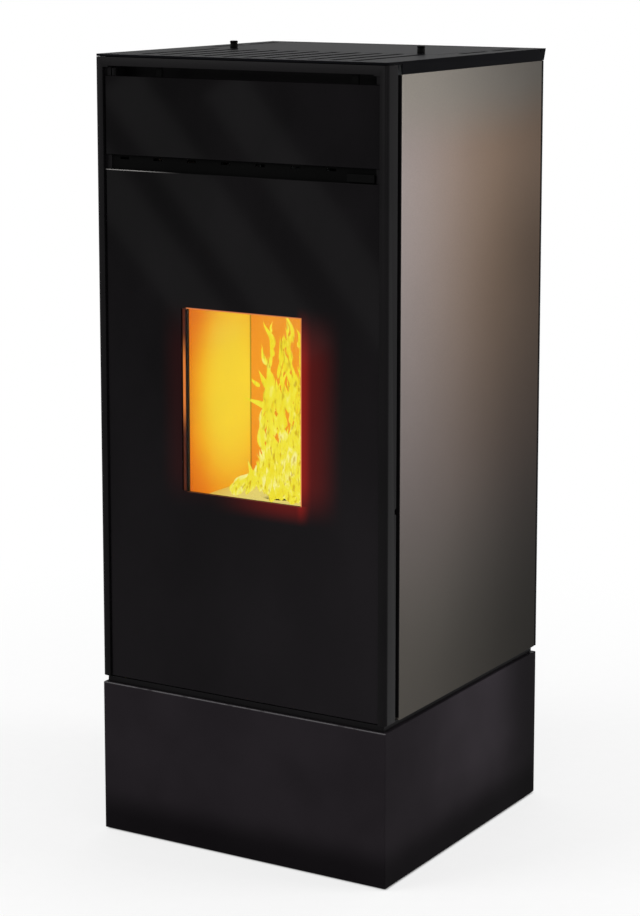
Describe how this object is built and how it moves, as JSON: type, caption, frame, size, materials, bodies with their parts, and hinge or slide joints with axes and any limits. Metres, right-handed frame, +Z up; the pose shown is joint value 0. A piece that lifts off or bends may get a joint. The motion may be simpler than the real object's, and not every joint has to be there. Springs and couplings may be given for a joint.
{
  "type": "pellet stove",
  "caption": "Slim free-standing pellet stove: a steel cabinet on a plinth with a full-height glazed door, a fire window, a slotted top with a hopper lid, and a flue at the back.",
  "frame": {"origin": "on the floor, under the middle of the stove's overall box", "axes": "+Z up, -Y towards the room (the glazed front), +X to the right as seen from the front"},
  "size_m": [0.52, 0.518, 1.2623],
  "materials": {
    "black_steel": "satin black powder coat",
    "top_black": "fine-grained black powder coat",
    "bronze": "bronze metallic powder coat",
    "black_glass": "polished, printed black from behind",
    "fire_glass": "clear glass ceramic",
    "cast_iron": "matt black",
    "lining": "matt, pressed mineral board",
    "zinc": "zinc plated",
    "inner_steel": "bare dark sheet",
    "rope": "woven glass-fibre cord",
    "plastic": "moulded black",
    "ceramic": "unglazed"
  },
  "bodies": {
    "cabinet": {"plinth_shell": "black_steel", "plinth_rear_panel": "black_steel", "plinth_chassis": "inner_steel", "riser_frame": "black_steel", "base_plate": "zinc", "side_panel_left": "bronze", "side_panel_right": "bronze", "rear_panel": "black_steel", "front_bulkhead": "black_steel", "top_plate": "top_black", "door_pivot_lower": "zinc", "door_pivot_upper": "zinc", "door_magnet": "plastic", "fire_door_hinge_pin": "zinc", "lid_hinge_pin": "zinc", "firebox_shell": "inner_steel", "lining_left": "lining", "lining_right": "lining", "lining_back": "lining", "hearth_plate": "cast_iron", "igniter": "ceramic", "heat_exchanger": "inner_steel", "hopper": "zinc", "lid_seal": "rope", "auger_tube": "inner_steel", "auger_motor": "zinc", "feed_chute": "inner_steel", "smoke_duct": "inner_steel", "smoke_fan_housing": "zinc", "smoke_fan_motor": "inner_steel", "flue_spigot": "black_steel", "air_intake_pipe": "zinc", "room_fan_housing": "zinc", "room_fan_motor": "inner_steel", "control_box": "plastic", "power_inlet": "plastic"},
    "outer_door": {"outer_door_frame": "black_steel", "lower_glass": "black_glass", "upper_glass": "black_glass", "slot_rail": "black_steel", "glass_bracket_left": "black_steel", "glass_bracket_right": "black_steel", "receiver_block": "plastic"},
    "fire_door": {"fire_door_frame": "cast_iron", "fire_door_glass": "fire_glass", "fire_door_seal": "rope"},
    "fire_door_lever": {"fire_door_handle": "zinc"},
    "burn_pot": {"burn_pot": "cast_iron"},
    "ash_drawer": {"ash_drawer": "zinc"},
    "lid": {"hopper_lid": "top_black", "lid_knob_left": "plastic", "lid_knob_right": "plastic"},
    "auger": {"auger_screw": "zinc"},
    "smoke_fan": {"smoke_fan_wheel": "zinc"},
    "room_fan": {"room_fan_wheel": "zinc"},
    "switch": {"switch_rocker": "plastic"},
    "foot_front_left": {"foot_front_left": "zinc"},
    "foot_rear_left": {"foot_rear_left": "zinc"},
    "foot_front_right": {"foot_front_right": "zinc"},
    "foot_rear_right": {"foot_rear_right": "zinc"}
  },
  "joints": [
    {"name": "outer_door_hinge", "type": "hinge", "parent": "cabinet", "child": "outer_door", "pos_m": [-0.248, -0.238, 0.75], "axis": [0, 0, -1], "range_deg": [0, 110]},
    {"name": "fire_door_hinge", "type": "hinge", "parent": "cabinet", "child": "fire_door", "pos_m": [-0.146, -0.22, 0.71], "axis": [0, 0, -1], "range_deg": [0, 88]},
    {"name": "fire_door_lever_turn", "type": "hinge", "parent": "fire_door", "child": "fire_door_lever", "pos_m": [0.15, -0.22, 0.71], "axis": [0, 1, 0], "range_deg": [0, 60]},
    {"name": "ash_drawer_slide", "type": "slide", "parent": "cabinet", "child": "ash_drawer", "axis": [0, -1, 0], "range_m": [0, 0.15]},
    {"name": "hopper_lid_hinge", "type": "hinge", "parent": "cabinet", "child": "lid", "pos_m": [0, 0.24, 1.2468], "axis": [-1, 0, 0], "range_deg": [0, 75]},
    {"name": "burn_pot_lift", "type": "slide", "parent": "cabinet", "child": "burn_pot", "axis": [0, 0, 1], "range_m": [0, 0.06]},
    {"name": "auger_spin", "type": "hinge", "parent": "cabinet", "child": "auger", "pos_m": [0, 0.07, 0.79], "axis": [0, 1, 0], "continuous": true},
    {"name": "smoke_fan_spin", "type": "hinge", "parent": "cabinet", "child": "smoke_fan", "pos_m": [0.09, 0.037, 0.4], "axis": [0, 1, 0], "continuous": true},
    {"name": "room_fan_spin", "type": "hinge", "parent": "cabinet", "child": "room_fan", "pos_m": [0, 0.12, 0.297], "axis": [1, 0, 0], "continuous": true},
    {"name": "switch_rock", "type": "hinge", "parent": "cabinet", "child": "switch", "pos_m": [-0.123, 0.217, 0.31], "axis": [-1, 0, 0], "range_deg": [0, 12]},
    {"name": "foot_front_left_screw", "type": "slide", "parent": "cabinet", "child": "foot_front_left", "axis": [0, 0, -1], "range_m": [0, 0.012]},
    {"name": "foot_rear_left_screw", "type": "slide", "parent": "cabinet", "child": "foot_rear_left", "axis": [0, 0, -1], "range_m": [0, 0.012]},
    {"name": "foot_front_right_screw", "type": "slide", "parent": "cabinet", "child": "foot_front_right", "axis": [0, 0, -1], "range_m": [0, 0.012]},
    {"name": "foot_rear_right_screw", "type": "slide", "parent": "cabinet", "child": "foot_rear_right", "axis": [0, 0, -1], "range_m": [0, 0.012]}
  ],
  "couplings": [
    {"joint": "fire_door_hinge", "follows": "outer_door_hinge", "ratio": 0.8},
    {"joint": "ash_drawer_slide", "follows": "outer_door_hinge", "m_per_rad": 0.07}
  ]
}
